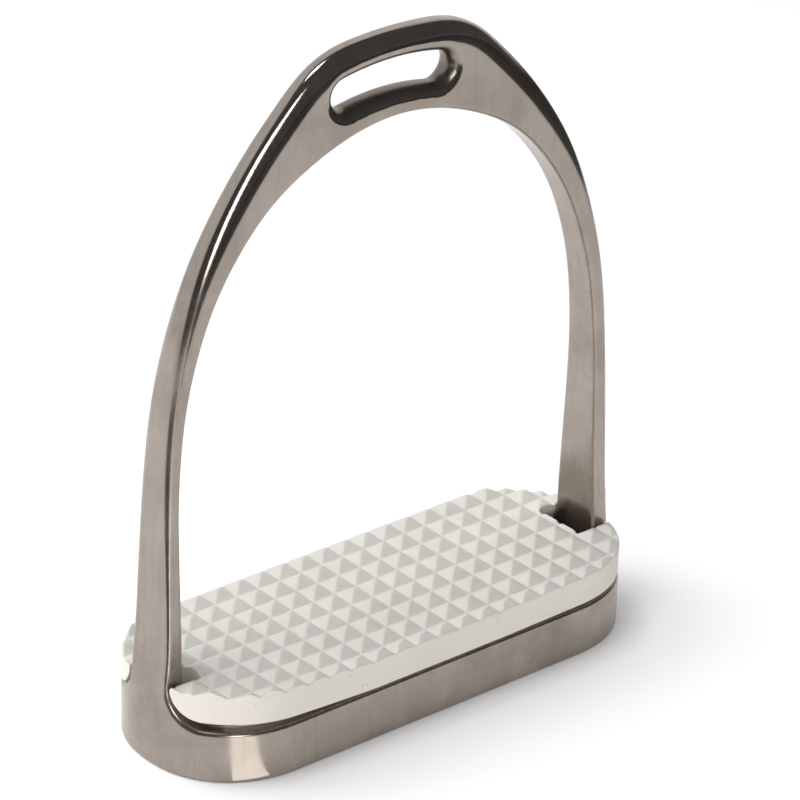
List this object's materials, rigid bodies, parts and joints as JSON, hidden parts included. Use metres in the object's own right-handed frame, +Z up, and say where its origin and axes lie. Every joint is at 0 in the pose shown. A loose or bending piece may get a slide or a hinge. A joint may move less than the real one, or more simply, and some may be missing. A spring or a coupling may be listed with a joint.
{
  "type": "stirrup iron",
  "caption": "Fillis-pattern riding stirrup: polished steel arch with a leather eye at the crown, open base frame, and a push-in rubber tread with a pyramid grip.",
  "frame": {"origin": "under the middle of the base, on the plane the iron stands on", "axes": "+Z up through the crown, +X along the tread from leg to leg, +Y across the tread"},
  "size_m": [0.1318, 0.048, 0.1604],
  "materials": {
    "steel": "cast stainless steel, satin brushed on the legs and base, brighter polish round the crown",
    "tread_rubber": "matt warm-white moulded rubber"
  },
  "bodies": {
    "iron": {"iron_casting": "steel"},
    "tread": {"tread_pad": "tread_rubber"}
  },
  "joints": [
    {"name": "tread_lift_out", "type": "slide", "parent": "iron", "child": "tread", "axis": [0, 0, 1], "range_m": [0, 0.02]}
  ]
}
